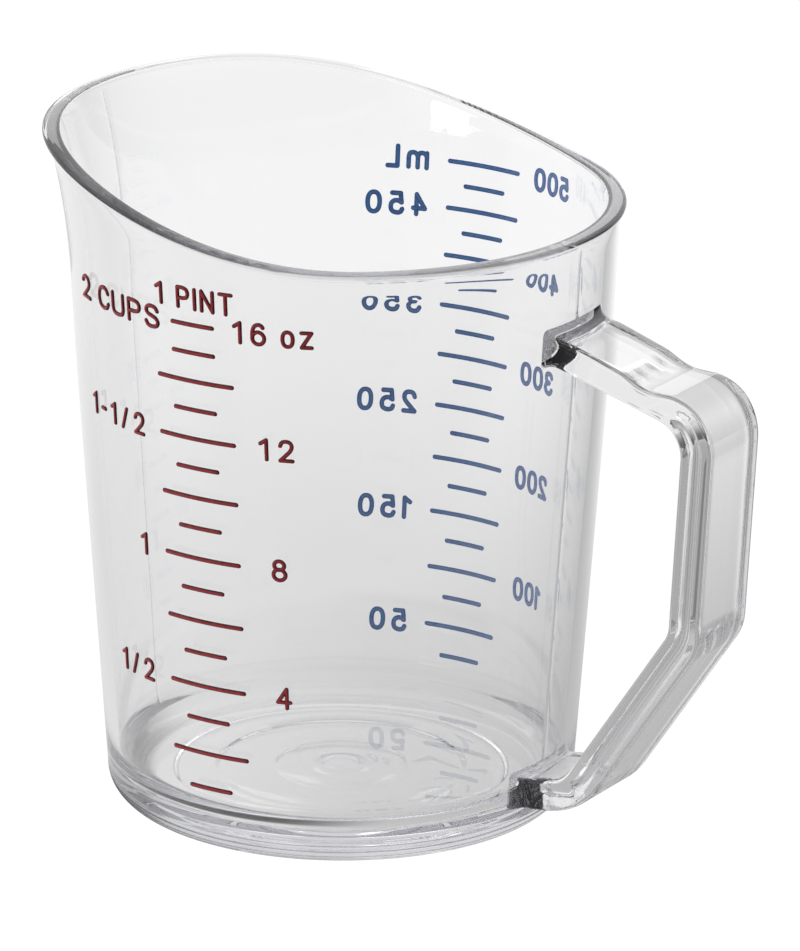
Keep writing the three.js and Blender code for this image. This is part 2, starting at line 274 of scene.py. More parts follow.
# %% [markdown]
# The mould opens along two upright lines, one under the lip and one behind the handle, and leaves a
# fine ridge on each. The outer wall is cut with a plane at both sides of the line and the vertices
# on the line are raised, fading out at the foot.

# %% Raise the parting lines
RIDGE_HALF, RIDGE_HEIGHT, RIDGE_FADE, UNDER_BEAD, NEAR_LINE = 0.12, 0.035, 6, 1.7, 2


def on_outer_wall(co):
    """Whether a point lies on the outer face, clear of the foot and of the bead."""
    x, y, z = co / MM
    angle = math.atan2(y, x)
    below = rim_height(wall_radius(z) * math.cos(angle)) - z
    outside = math.hypot(x, y) > outer_radius(angle, z) - WALL / 2
    return z > FOOT_CORNER and below > UNDER_BEAD and outside


for offset in (-RIDGE_HALF, RIDGE_HALF):
    edit(vessel, "FACE")
    select_where(vessel, "faces", lambda f: all(
        on_outer_wall(v.co) and abs(v.co.y) < NEAR_LINE * MM for v in f.verts))
    bpy.ops.mesh.bisect(plane_co=(0, offset * MM, 0), plane_no=(0, 1, 0))
    done()
for vertex in vessel.data.vertices:
    x, y, z = vertex.co / MM
    if abs(y) < TOUCHING and on_outer_wall(vertex.co):
        fade = smooth_step((z - FOOT_CORNER) / RIDGE_FADE)
        vertex.co.x += math.copysign(RIDGE_HEIGHT * fade, x) * MM
print("vessel vertices with the ridges:", len(vessel.data.vertices))

# %% [markdown]
# ## The handle
# The strap is drawn in side view as a strip of quads that follows five corner points. Its inner and
# outer faces have corner radii of their own, so that the strap swells a little in its bends. The
# thumb rest is a sag along the arm's outer face with a dip in it before the corner, where the thumb
# presses when the cup is tipped. The stations stand closer together towards both roots, where the
# fillets need them.

# %% The handle's two faces in side view
STRAP_WIDTH, EDGE_ROUND = 16.3, 0.8
BELOW_RIM, ARM_DROP, GRIP_LENGTH = 17.6, 7.6, 38.6
ARM_Z = RIM_LOW - BELOW_RIM
GRIP_TOP_Z = ARM_Z - ARM_DROP
GRIP_FOOT_Z = GRIP_TOP_Z - GRIP_LENGTH
HEEL_Z, HEEL_DROP = 10.8, 1.6
GRIP_TOP_REACH, GRIP_FOOT_REACH, HEEL_REACH = 28.4, 28.98, 10.35
ARM_THICK, GRIP_THICK, LEG_THICK, HEEL_THICK = 5.1, 6, 5.85, 5.4
# Height, reach from the wall, thickness, inner radius, outer radius
CORNERS = [
    (ARM_Z, 0, ARM_THICK, 0, 0),
    (GRIP_TOP_Z, GRIP_TOP_REACH, GRIP_THICK, 6, 10.5),
    (GRIP_FOOT_Z, GRIP_FOOT_REACH, GRIP_THICK, 5, 9),
    (HEEL_Z, HEEL_REACH, LEG_THICK, 5, 14),
    (HEEL_Z - HEEL_DROP, 0, HEEL_THICK, 0, 0),
]
STEPS, BEND_STEPS = [44, 26, 34, 20], 14
CROWDING = 1.7
SPACING = [lambda t: t ** CROWDING, lambda t: t, lambda t: t, lambda t: 1 - (1 - t) ** CROWDING]
INTO_WALL = 1.3
# The thumb rest's places are shares of the arm's length
DIP_DEPTH, DIP_AT, DIP_REACH = 0.9, 0.79, 0.26
SAG_DEPTH, SAG_FULL, SAG_END, SAG_FADE = 0.75, 0.7, 0.95, 0.3


def left_of(v):
    return Vector((-v.y, v.x))


def strap_face(side):
    """One face of the strap as points in x and z: side -1 is the inner face, 1 the outer."""
    points = [Vector((wall_radius(z) + reach, z)) for z, reach, *_ in CORNERS]
    ways = [(b - a).normalized() for a, b in zip(points, points[1:])]
    shifted = []
    for i, p in enumerate(points):
        before, after = left_of(ways[max(0, i - 1)]), left_of(ways[min(i, 3)])
        middle = (before + after).normalized()
        shifted.append(p + middle * (side * CORNERS[i][2] / 2 / middle.dot(before)))
    face, cursor = [], shifted[0]
    for i in range(1, 5):
        into = (shifted[i] - shifted[i - 1]).normalized()
        out = into if i == 4 else (shifted[i + 1] - shifted[i]).normalized()
        turn = math.acos(max(-1, min(1, into.dot(out))))
        radius = CORNERS[i][3 if side < 0 else 4]
        start = shifted[i] - into * (radius * math.tan(turn / 2))
        centre = start - left_of(into) * radius
        face += arc(STEPS[i - 1], 0, 1, lambda t: cursor.lerp(start, SPACING[i - 1](t)))
        if i < 4:
            spoke = start - centre
            bend = arc(BEND_STEPS, 0, 1, lambda t: centre + Matrix.Rotation(-turn * t, 2) @ spoke)
            face += bend[1:-1]
            cursor = bend[-1]
    return face


def thumb_rest(share):
    """Depth of the thumb rest at a share of the arm's length, counted on into the corner."""
    dip = DIP_DEPTH * math.cos(math.pi / 2 * min(1, abs(share - DIP_AT) / DIP_REACH)) ** 2
    sag = SAG_DEPTH * smooth_step(share / SAG_FULL) * (1 - smooth_step((share - SAG_END) / SAG_FADE))
    return dip + sag


def travel(one_face, other_face):
    """Middles of the stations, and how far along the strap each of them is."""
    middles = [(a + b) / 2 for a, b in zip(one_face, other_face)]
    travelled = [0]
    for a, b in zip(middles, middles[1:]):
        travelled.append(travelled[-1] + (b - a).length)
    return middles, travelled


inner_face, outer_face = strap_face(-1), strap_face(1)
_, travelled = travel(inner_face, outer_face)
ARM_LENGTH = travelled[STEPS[0]]
for i, distance in enumerate(travelled):
    across = (outer_face[i] - inner_face[i]).normalized()
    outer_face[i] = outer_face[i] - across * thumb_rest(distance / ARM_LENGTH)
# Both ends run on a little way into the wall, where the union will swallow them
for face in (inner_face, outer_face):
    face.insert(0, face[0] - (face[1] - face[0]).normalized() * INTO_WALL)
    face.append(face[-1] + (face[-1] - face[-2]).normalized() * INTO_WALL)
print("stations along the strap:", len(inner_face))

# %% [markdown]
# A grid with one column for each station is laid on that outline and extruded to the strap's width
# in steps, so that the strap can wrap round the wall at its roots. The narrow bands in its middle
# are for the flute in the strap's side: how deep it is at each place is kept as an attribute, which
# the extrusion copies.

# %% Lay the strip and extrude it
FLUTE, FLUTE_DEPTH, FLUTE_FROM, FLUTE_TO = 2.6, 0.8, 2, 11
HALF_BANDS = 4
middles, travelled = travel(inner_face, outer_face)
flute_start = travelled[STEPS[0] + 1] + FLUTE_FROM
flute_end = travelled[-1] - FLUTE_TO - INTO_WALL
columns, bands = len(inner_face) - 1, 2 * HALF_BANDS + 2
bpy.ops.object.select_all(action="DESELECT")
bpy.ops.mesh.primitive_grid_add(x_subdivisions=columns, y_subdivisions=bands, size=2)
handle = bpy.context.active_object
handle.name = "handle strap"
depths = handle.data.attributes.new("flute", "FLOAT", "POINT")
for vertex, depth in zip(handle.data.vertices, depths.data):
    i = round((vertex.co.x + 1) / 2 * columns)
    j = round((vertex.co.y + 1) / 2 * bands)
    inner, outer = inner_face[i], outer_face[i]
    off_middle = (j - HALF_BANDS - 1) / HALF_BANDS
    if abs(off_middle) > 1:
        place = inner if off_middle < 0 else outer
    else:
        place = (inner + outer) / 2 + (outer - inner).normalized() * off_middle * FLUTE / 2
    from_end = min(travelled[i] - flute_start, flute_end - travelled[i])
    depth.value = FLUTE_DEPTH * max(0, 1 - off_middle ** 2) * smooth_step(from_end / FLUTE)
    vertex.co = Vector((place.x, -STRAP_WIDTH / 2, place.y)) * MM
WIDTH_STEPS = 10
edit(handle, "FACE")
bpy.ops.mesh.select_all(action="SELECT")
for _ in range(WIDTH_STEPS):
    bpy.ops.mesh.extrude_region_move(
        TRANSFORM_OT_translate={"value": (0, STRAP_WIDTH / WIDTH_STEPS * MM, 0)})
bpy.ops.mesh.select_all(action="SELECT")
bpy.ops.mesh.normals_make_consistent(inside=False)
done()
print("strap faces:", len(handle.data.polygons))

# %% [markdown]
# The strap's four long edges are rounded like those of a moulding that has to leave its mould. Then
# the flute is pushed into both sides between the arm and the heel, where the real strap is hollowed
# so that its section cools evenly.

# %% Round the long edges and sink the side flutes
half_width = STRAP_WIDTH / 2
EDGE_STEPS = 4


def on_side(co):
    return abs(abs(co.y / MM) - half_width) < TOUCHING


def is_long_edge(edge):
    """An edge between a side and the inner or outer face, away from the strap's two ends."""
    if not all(on_side(v.co) for v in edge.verts) or len(edge.link_faces) != 2:
        return False
    a, b = (f.normal for f in edge.link_faces)
    return max(abs(a.y), abs(b.y)) > 0.9 and min(abs(a.y), abs(b.y)) < 0.1


edit(handle, "EDGE")
select_where(handle, "edges", is_long_edge)
bpy.ops.mesh.bevel(offset=EDGE_ROUND * MM, segments=EDGE_STEPS, profile=0.5, affect="EDGES")
done()
for vertex, depth in zip(handle.data.vertices, handle.data.attributes["flute"].data):
    if on_side(vertex.co):
        vertex.co.y -= math.copysign(depth.value * MM, vertex.co.y)
handle.data.attributes.remove(handle.data.attributes["flute"])
print("strap vertices with edges and flutes:", len(handle.data.vertices))

# %% [markdown]
# Close to the wall each root swells into a fillet and wraps round the wall. Seen along the strap,
# the fillet is a part of a circle that meets the wall at a low angle. The wrap bends the strap's
# straight sections to the wall's own curve, so that the fillet is the same all round.

# %% Fillet and wrap the two roots
ROOT_FILLET, FREE_SIDE_SHARE = 1.9, 0.5
ROOT_TURN = math.radians(66)
ROOT_RADIUS = ROOT_FILLET / math.sin(ROOT_TURN)
# Short of the whole radius, where the circle would stand upright
MOST_OF_RADIUS = 0.985
# How far along and across the strap a root reaches, and a factor that takes in the rounded edges
ROOT_ALONG, ROOT_ACROSS, EDGE_SHARE = 2.2 * ROOT_FILLET, 8, 1.02


def root_swell(distance):
    into = min(ROOT_RADIUS * MOST_OF_RADIUS, max(0, ROOT_FILLET - distance))
    return ROOT_RADIUS - math.sqrt(ROOT_RADIUS ** 2 - into ** 2)


def settle_root(first, second, thickness, is_upper):
    """Swell and wrap the vertices near one root, whose middle line runs from first to second."""
    way = (second - first).normalized()
    across = left_of(way) if is_upper else -left_of(way)
    for vertex in handle.data.vertices:
        x, y, z = vertex.co / MM
        offset = Vector((x, z)) - first
        distance = offset.dot(way)
        beside = abs(offset.dot(across)) > ROOT_ACROSS
        if beside or not -2 * INTO_WALL < distance < ROOT_ALONG:
            continue
        swell = root_swell(distance)
        v = offset.dot(across)
        free_side = (v > 0) != is_upper
        push = swell * (FREE_SIDE_SHARE if free_side else 1) * clamp01(abs(v) / thickness * 2)
        v += math.copysign(push, v)
        y += math.copysign(swell, y) * clamp01(abs(y) / half_width * EDGE_SHARE)
        place = first + way * distance + across * v
        wall = wall_radius(place.y)
        wrap = 1 - smooth_step(distance / (2 * ROOT_FILLET))
        bend = wall - math.sqrt(wall ** 2 - y ** 2)
        lean = wall - wall_radius(first.y) - across.x * v
        vertex.co = Vector((place.x + wrap * (lean - bend), y, place.y)) * MM


def wall_point(z, reach):
    return Vector((wall_radius(z) + reach, z))


settle_root(wall_point(ARM_Z, 0), wall_point(GRIP_TOP_Z, GRIP_TOP_REACH), ARM_THICK, True)
settle_root(wall_point(HEEL_Z - HEEL_DROP, 0), wall_point(HEEL_Z, HEEL_REACH), HEEL_THICK, False)
edit(handle)
bpy.ops.mesh.select_all(action="SELECT")
bpy.ops.mesh.normals_make_consistent(inside=False)
done()
print("strap from x =", round(min(v.co.x for v in handle.data.vertices) / MM, 2), "mm")

# %% [markdown]
# ## One moulding
# On the real cup nothing divides the handle from the wall. Two overlapping clear solids would bend
# the light twice where they meet, so the two are joined with a union here. Each brings a material
# of its own, only to tell afterwards which edges lie between the two. Those are marked sharp, so
# that the wall's shading isn't bent by the fillet's.

# %% Join the handle to the vessel
for obj, slot in ((vessel, 0), (handle, 1)):
    for name in ("of the vessel", "of the handle"):
        obj.data.materials.append(bpy.data.materials.get(name) or bpy.data.materials.new(name))
    for face in obj.data.polygons:
        face.material_index = slot
only(vessel)
bpy.ops.object.modifier_add(type="BOOLEAN")
union = vessel.modifiers[-1]
union.operation, union.solver, union.object = "UNION", "EXACT", handle
bpy.ops.object.modifier_apply(modifier=union.name)
bpy.data.objects.remove(handle)
moulding = vessel
moulding.name = moulding.data.name = "moulding"
edit(moulding, "EDGE")
select_where(moulding, "edges", lambda e: len({f.material_index for f in e.link_faces}) > 1)
bpy.ops.mesh.mark_sharp()
done()
for face in moulding.data.polygons:
    face.material_index = 0


def open_edges(obj):
    check = bmesh.new()
    check.from_mesh(obj.data)
    count = sum(len(e.link_faces) != 2 for e in check.edges)
    check.free()
    return count


print("moulding faces:", len(moulding.data.polygons))
print("edges not between two faces:", open_edges(moulding))

# %% [markdown]
# The moulding moves from its modelling place to the frame's, with its place in its mesh, and takes
# the place of both CAD nodes.

# %% Place and smooth the moulding
SMOOTH_BELOW = math.radians(38)
moulding.data.transform(Matrix.Translation((AXIS_X, 0, 0)))
only(moulding)
bpy.ops.object.shade_smooth_by_angle(angle=SMOOTH_BELOW, keep_sharp_edges=True)
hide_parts("cup_body", "handle")
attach(moulding, "root")
print("moulding reaches x =", round(max(v.co.x for v in moulding.data.vertices) / MM, 2), "mm")

# %% [markdown]
# ## Clear plastic
# The cup is a clear, hard plastic with a higher index of refraction than glass, moulded in a polished
# mould. Its skin turns the light, and its inside takes a little of it away, least of the blue. That
# only shows where light has run a long way inside the plastic, as in the rim and the heavy foot.

# %% The clear plastic


class Nodes:
    """Short calls that add linked shader nodes to a tree."""

    def __init__(self, tree):
        self.tree = tree

    def add(self, kind, inputs=(), **settings):
        node = self.tree.nodes.new(kind)
        for name, value in settings.items():
            setattr(node, name, value)
        for socket, value in dict(inputs).items():
            target = node.inputs[socket]
            if isinstance(value, bpy.types.NodeSocket):
                self.tree.links.new(value, target)
            else:
                target.default_value = value
        return node

    def math(self, operation, a, b=0.0, c=0.0):
        return self.add("ShaderNodeMath", {0: a, 1: b, 2: c}, operation=operation).outputs[0]

    def fade(self, value, low, high, to_low, to_high):
        """A smooth change from one value to another as the input goes from low to high."""
        return self.add("ShaderNodeMapRange", {
            "Value": value, "From Min": low, "From Max": high, "To Min": to_low, "To Max": to_high,
        }, interpolation_type="SMOOTHSTEP").outputs["Result"]

    def link(self, source, target):
        self.tree.links.new(source, target)


def principled(name, **sockets):
    """A material with one Principled shader whose named sockets are set."""
    material = bpy.data.materials.new(name)
    material.use_nodes = True
    shader = material.node_tree.nodes["Principled BSDF"]
    for socket, value in sockets.items():
        shader.inputs[socket.replace("_", " ")].default_value = value
    return material, shader


clear_plastic, _ = principled(
    "clear plastic", Base_Color=(0.985, 0.985, 0.987, 1), Roughness=0.0, IOR=1.586,
    Transmission_Weight=1.0)
ABSORPTION_PER_METRE, LEFT_OVER = 4, (0.0, 0.0, 0.1, 1)
n = Nodes(clear_plastic.node_tree)
inside = n.add("ShaderNodeVolumeAbsorption", {"Color": LEFT_OVER, "Density": ABSORPTION_PER_METRE})
n.link(inside.outputs["Volume"], clear_plastic.node_tree.nodes["Material Output"].inputs["Volume"])
moulding.data.materials.clear()
moulding.data.materials.append(clear_plastic)
print("clear plastic on:", moulding.name)

# %% [markdown]
# ## The scales
# On the real cup the marks and numbers are cut into the mould with a ball-nosed cutter, so they
# stand up from the wall as round-backed strokes, and ink is rolled onto them afterwards. The same is
# done here: every mark and every stroke of a number is a round-ended bar, made flat with x along the
# wall, y up and z out of the wall, and then wrapped onto the wall by the wall's own rule.

# %% Make a flat stroke and wrap things onto the wall
OUNCE_SIDE, MILLILITRE_SIDE = -math.pi / 2, math.pi / 2
ON_WALL = 0.02
DOME_ANGLES = (0.35, 0.7, 1.05, 1.35, 1.5)


def stroke_spline(curve, points, closed=False):
    """Add one round-ended stroke through the points, in millimetres, to a curve."""
    points = [Vector(p) for p in points]
    radii = [1.0] * len(points)
    if not closed:
        half = curve.bevel_depth / MM
        for end, inwards in ((0, points[0] - points[1]), (-1, points[-1] - points[-2])):
            tip, way = points[end].copy(), inwards.normalized()
            dome = [(tip + way * half * math.sin(a), math.cos(a)) for a in DOME_ANGLES]
            if end == 0:
                points, radii = [p for p, _ in dome[::-1]] + points, [r for _, r in dome[::-1]] + radii
            else:
                points, radii = points + [p for p, _ in dome], radii + [r for _, r in dome]
    spline = curve.splines.new("POLY")
    spline.points.add(len(points) - 1)
    spline.use_cyclic_u = closed
    for place, point, radius in zip(spline.points, points, radii):
        place.co = (point.x * MM, point.y * MM, 0, 1)
        place.radius = radius


def flat_strokes(name, strokes, breadth, raised):
    """A mesh of round-backed strokes, flat in x and y, standing out by a given height."""
    curve = bpy.data.curves.new(name, "CURVE")
    curve.dimensions = "3D"
    curve.bevel_depth, curve.bevel_resolution, curve.use_fill_caps = breadth / 2 * MM, 3, True
    for points, closed in strokes:
        stroke_spline(curve, points, closed)
    obj = bpy.data.objects.new(name, curve)
    bpy.context.collection.objects.link(obj)
    only(obj)
    bpy.ops.object.convert(target="MESH")
    # How far each place faces out of the wall, which sets the ink's painted edge shade after the wrap
    facing = obj.data.attributes.new("facing", "FLOAT", "POINT")
    for vertex, value in zip(obj.data.vertices, facing.data):
        value.value = abs(vertex.normal.z)
    for vertex in obj.data.vertices:
        vertex.co.z = max(0, vertex.co.z) * raised / (breadth / 2) + ON_WALL * MM
    return obj


def wrap_onto_wall(obj, side, along, height):
    """Wrap a flat mesh round the wall, its origin at an arc length from the side's middle line."""
    for vertex in obj.data.vertices:
        x, y, z = vertex.co / MM
        level = height + y
        angle = side + (along + x) / wall_radius(level)
        radius = outer_radius(angle, level) + z
        vertex.co = Vector((
            radius * math.cos(angle) * MM + AXIS_X, radius * math.sin(angle) * MM, level * MM))
    only(obj)
    bpy.ops.object.shade_smooth()


print("stroke helpers ready")

# %% [markdown]
# The ink is dense on the backs of the strokes. Their edges are painted darker, a painted shade where
# the round backs turn away from the wall and the light. It is slightly mottled, as ink from a roller
# is, and has the low sheen of a cured print.

# %% The two inks


def ink(name, shaded_edge_colour, back_colour):
    material, shader = principled(name, Roughness=0.42, Specular_IOR_Level=0.35)
    n = Nodes(material.node_tree)
    place = n.add("ShaderNodeTexCoord").outputs["Object"]
    mottle = n.add("ShaderNodeTexNoise", {
        "Vector": place, "Scale": 1400.0, "Detail": 3.0}).outputs["Fac"]
    facing = n.add("ShaderNodeAttribute", attribute_name="facing").outputs["Fac"]
    # Painted shade: where a stroke's side turns away from the wall it takes the darker edge colour, broken
    # up by the mottle
    mottle_and_edge_shade = n.fade(n.math("MULTIPLY_ADD", mottle, 0.5, facing), 0.75, 1.3, 0.0, 1.0)
    tone = n.add("ShaderNodeMix", {
        "Factor": mottle_and_edge_shade, "A": shaded_edge_colour, "B": back_colour}, data_type="RGBA")
    n.link(tone.outputs["Result"], shader.inputs["Base Color"])
    bump = n.add("ShaderNodeBump", {"Height": mottle, "Strength": 0.3, "Distance": 0.00008})
    n.link(bump.outputs["Normal"], shader.inputs["Normal"])
    return material


# Each ink's first colour is its painted edge shade, the second the ink on the strokes' backs
red_ink = ink("red ink", (0.055, 0.007, 0.011, 1), (0.52, 0.045, 0.055, 1))
blue_ink = ink("blue ink", (0.03, 0.15, 0.95, 1), (0.1, 0.48, 1, 1))
print("inks:", red_ink.name, "and", blue_ink.name)


def finish_ink(obj, material):
    obj.data.materials.clear()
    obj.data.materials.append(material)
    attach(obj, "root")


# %% [markdown]
# There are two lengths of mark. One long and one short mark are made, and each place on the scale
# gets a copy with a mesh of its own, wrapped round the wall at the height that the CAD mark has.

# %% Wrap the marks
LONG_MARK, SHORT_MARK, MARK_BREADTH, RAISED = 15, 8.5, 0.82, 0.36


def flat_mark(name, length):
    half = (length - MARK_BREADTH) / 2
    return flat_strokes(name, [(arc(12, -half, half, lambda x: (x, 0)), False)], MARK_BREADTH, RAISED)


flat_marks = {length: flat_mark(f"flat mark {length}", length) for length in (LONG_MARK, SHORT_MARK)}


def mark_height(node):
    low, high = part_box(node)
    return (low.z + high.z) / 2 / MM


def place_mark(node, side, material):
    """Copy the flat mark whose length is the CAD mark's and wrap it at that mark's height."""
    low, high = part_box(node)
    length = min(flat_marks, key=lambda one: abs(one * MM - (high.x - low.x)))
    mark = flat_marks[length].copy()
    mark.data = flat_marks[length].data.copy()
    mark.name = mark.data.name = node.replace("_mark_", "_scale_mark_")
    bpy.context.collection.objects.link(mark)
    wrap_onto_wall(mark, side, 0, mark_height(node))
    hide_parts(node)
    finish_ink(mark, material)


for node in sorted(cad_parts):
    if node.startswith("ounce_mark"):
        place_mark(node, OUNCE_SIDE, red_ink)
    elif node.startswith("ml_mark"):
        place_mark(node, MILLILITRE_SIDE, blue_ink)
for flat in flat_marks.values():
    bpy.data.objects.remove(flat)

# %% [markdown]
# The numbers and the unit names are plain scale lettering. A typeface's digits don't look like cut
# strokes, so the few signs that the scales need are drawn as strokes in a box one unit high: straight
# strokes as corner points, round ones as a smooth curve through a few points.

# %% Draw the signs


def smooth_through(points, closed=False, steps=5):
    """Points of a Catmull-Rom curve through the given ones."""
    points = [Vector(p) for p in points]
    count = len(points)
    if closed:
        around = lambda i: points[i % count]
        spans = range(count)
    else:
        ends = [points[0] * 2 - points[1], *points, points[-1] * 2 - points[-2]]
        around = lambda i: ends[i + 1]
        spans = range(count - 1)
    curve = []
    for i in spans:
        a, b, c, d = (around(i + k) for k in (-1, 0, 1, 2))
        for step in range(steps):
            t = step / steps
            curve.append(((c - a) * t + (a * 2 - b * 5 + c * 4 - d) * t ** 2
                          + (b * 3 - a - c * 3 + d) * t ** 3) / 2 + b)
    return curve if closed else [*curve, points[-1]]


def line(*points):
    """Straight strokes between the points, each a bar of its own."""
    return [([a, b], False) for a, b in zip(points, points[1:])]


def bow(*points):
    return [(smooth_through(points), False)]


def ring(x, y, half_width, half_height, squareness=0.86):
    """A closed oval, squarer than an ellipse where squareness is below one."""
    turn = lambda v: math.copysign(abs(v) ** squareness, v)
    oval = [(x + half_width * turn(math.cos(a)), y + half_height * turn(math.sin(a)))
            for a in (2 * math.pi * i / 32 for i in range(32))]
    return [(oval, True)]


# Width of each sign and its strokes, with the height of a capital as one
SIGNS = {
    "0": (0.62, ring(0.31, 0.5, 0.31, 0.5)),
    "1": (0.3, line((0, 0.8), (0.3, 1), (0.3, 0))),
    "2": (0.6, bow((0.01, 0.76), (0.1, 0.94), (0.3, 1), (0.5, 0.94), (0.58, 0.75), (0.5, 0.52),
                   (0.25, 0.25), (0, 0)) + line((0, 0), (0.6, 0))),
    "3": (0.6, bow((0.02, 0.82), (0.12, 0.96), (0.3, 1), (0.5, 0.93), (0.55, 0.76), (0.46, 0.58),
                   (0.24, 0.53)) + bow((0.24, 0.53), (0.48, 0.47), (0.6, 0.27), (0.5, 0.07),
                                       (0.3, 0), (0.1, 0.05), (0, 0.2))),
    "4": (0.62, line((0.45, 0), (0.45, 1), (0, 0.3), (0.62, 0.3))),
    "5": (0.6, line((0.54, 1), (0.1, 1), (0.04, 0.53)) + bow(
        (0.04, 0.53), (0.28, 0.63), (0.52, 0.54), (0.6, 0.31), (0.52, 0.08), (0.28, 0),
        (0.08, 0.05), (0, 0.19))),
    "6": (0.6, bow((0.54, 0.86), (0.46, 0.96), (0.3, 1), (0.1, 0.88), (0.01, 0.6), (0.01, 0.3))
          + ring(0.3, 0.31, 0.3, 0.31, 1)),
    "8": (0.6, ring(0.3, 0.77, 0.25, 0.23, 1) + ring(0.3, 0.28, 0.3, 0.28, 1)),
    "C": (0.62, bow((0.62, 0.76), (0.52, 0.94), (0.32, 1), (0.09, 0.88), (0, 0.5), (0.09, 0.12),
                    (0.32, 0), (0.52, 0.06), (0.62, 0.25))),
    "I": (0, line((0, 0), (0, 1))),
    "L": (0.5, line((0, 1), (0, 0), (0.5, 0))),
    "N": (0.6, line((0, 0), (0, 1), (0.6, 0), (0.6, 1))),
    "P": (0.58, line((0, 0), (0, 1), (0.3, 1)) + line((0, 0.46), (0.3, 0.46)) + bow(
        (0.3, 1), (0.5, 0.93), (0.58, 0.73), (0.5, 0.53), (0.3, 0.46))),
    "S": (0.58, bow((0.56, 0.79), (0.47, 0.94), (0.29, 1), (0.1, 0.94), (0.03, 0.76), (0.12, 0.6),
                    (0.3, 0.52), (0.49, 0.42), (0.58, 0.24), (0.49, 0.06), (0.29, 0), (0.1, 0.05),
                    (0, 0.22))),
    "T": (0.6, line((0, 1), (0.6, 1)) + line((0.3, 1), (0.3, 0))),
    "U": (0.62, line((0, 1), (0, 0.28)) + line((0.62, 1), (0.62, 0.28)) + bow(
        (0, 0.28), (0.08, 0.07), (0.31, 0), (0.54, 0.07), (0.62, 0.28))),
    "m": (0.96, line((0, 0), (0, 0.74)) + line((0.48, 0.5), (0.48, 0)) + line((0.96, 0.5), (0.96, 0))
          + bow((0, 0.56), (0.12, 0.71), (0.28, 0.74), (0.43, 0.68), (0.48, 0.5))
          + bow((0.48, 0.56), (0.6, 0.71), (0.76, 0.74), (0.91, 0.68), (0.96, 0.5))),
    "o": (0.5, ring(0.25, 0.37, 0.25, 0.37)),
    "z": (0.48, line((0, 0.74), (0.48, 0.74), (0, 0), (0.48, 0))),
    "/": (0.36, line((0, 0), (0.36, 1))),
    "-": (0.34, line((0, 0.44), (0.34, 0.44))),
}
print("signs drawn:", len(SIGNS))

# %% [markdown]
# Each label stands level with a mark of its scale, but for the pint, which stands above the top mark.
# Its place along the wall is where the photograph shows it. On the red scale letters stand closer
# than digits, and on the blue one the numbers left of the marks are set closer than the others.

# %% Set the labels
SPACE = 0.64


def label(text, side, node, start, gap, capital, breadth, above=0, widen=1):
    """One label as one mesh: its left edge at an arc length, level with the middle of a mark."""
    strokes, cursor = [], breadth / 2
    for sign in text:
        if sign == " ":
            cursor += SPACE * capital
            continue
        width, drawn = SIGNS[sign]
        for points, closed in drawn:
            strokes.append((
                [(cursor + x * capital * widen, (y - 0.5) * capital) for x, y in points], closed))
        cursor += width * capital * widen + breadth + gap
    obj = flat_strokes("label_" + text.replace(" ", "_").replace("/", "_over_"), strokes, breadth, RAISED)
    wrap_onto_wall(obj, side, start, mark_height(node) + above)
    return obj


RED_CAPITAL, RED_BREADTH, BLUE_CAPITAL, BLUE_BREADTH = 3.4, 0.72, 3.45, 0.86
# The two cups' letters are cut wider and a little larger than the rest
CUPS_WIDER, CUPS_LARGER = 1.28, 1.06
# Words, the mark that gives their height, their left edge, the gap between signs, how far above it
RED_LABELS = [
    ("1 PINT", "ounce_mark_16", -7.4, 0.6, 4.55), ("2 CUPS", "ounce_mark_16", -29.8, 0.8, -0.1),
    ("16", "ounce_mark_16", 7.5, 1.4, 0), ("oz", "ounce_mark_16", 15.75, 0.75, 0),
    ("1-1/2", "ounce_mark_12", -27.4, 1.55, 0),
    ("12", "ounce_mark_12", 11.4, 1.6, 0), ("1", "ounce_mark_08", -13.5, 1.5, 0),
    ("8", "ounce_mark_08", 12.8, 1.5, 0), ("1/2", "ounce_mark_04", -21.0, 1.5, 0),
    ("4", "ounce_mark_04", 12.7, 1.5, 0),
]
for text, node, start, gap, above in RED_LABELS:
    widen, larger = (CUPS_WIDER, CUPS_LARGER) if text == "2 CUPS" else (1, 1)
    finish_ink(label(text, OUNCE_SIDE, node, start, gap, RED_CAPITAL * larger, RED_BREADTH * larger,
                     above, widen), red_ink)
LEFT_OF_MARKS, RIGHT_OF_MARKS, LEFT_GAP, RIGHT_GAP = -21.0, 11.0, 0.5, 1.15
for number in range(1, 11):
    start, gap = (RIGHT_OF_MARKS, RIGHT_GAP) if number % 2 else (LEFT_OF_MARKS, LEFT_GAP)
    node = f"ml_mark_{number * 2:02d}"
    finish_ink(label(str(number * 50), MILLILITRE_SIDE, node, start, gap, BLUE_CAPITAL,
                     BLUE_BREADTH), blue_ink)
finish_ink(label("mL", MILLILITRE_SIDE, "ml_mark_20", RIGHT_OF_MARKS, RIGHT_GAP, BLUE_CAPITAL,
                 BLUE_BREADTH), blue_ink)

# %% [markdown]
# ## Camera, floor and light
# The camera's direction, distance and lens come from the fit of the printed scale, whose marks stand
# at heights that the cup's volume gives. The picture's middle isn't where the cup's axis is, so the
# camera is turned a little to the side of the axis, and its sensor isn't shifted.

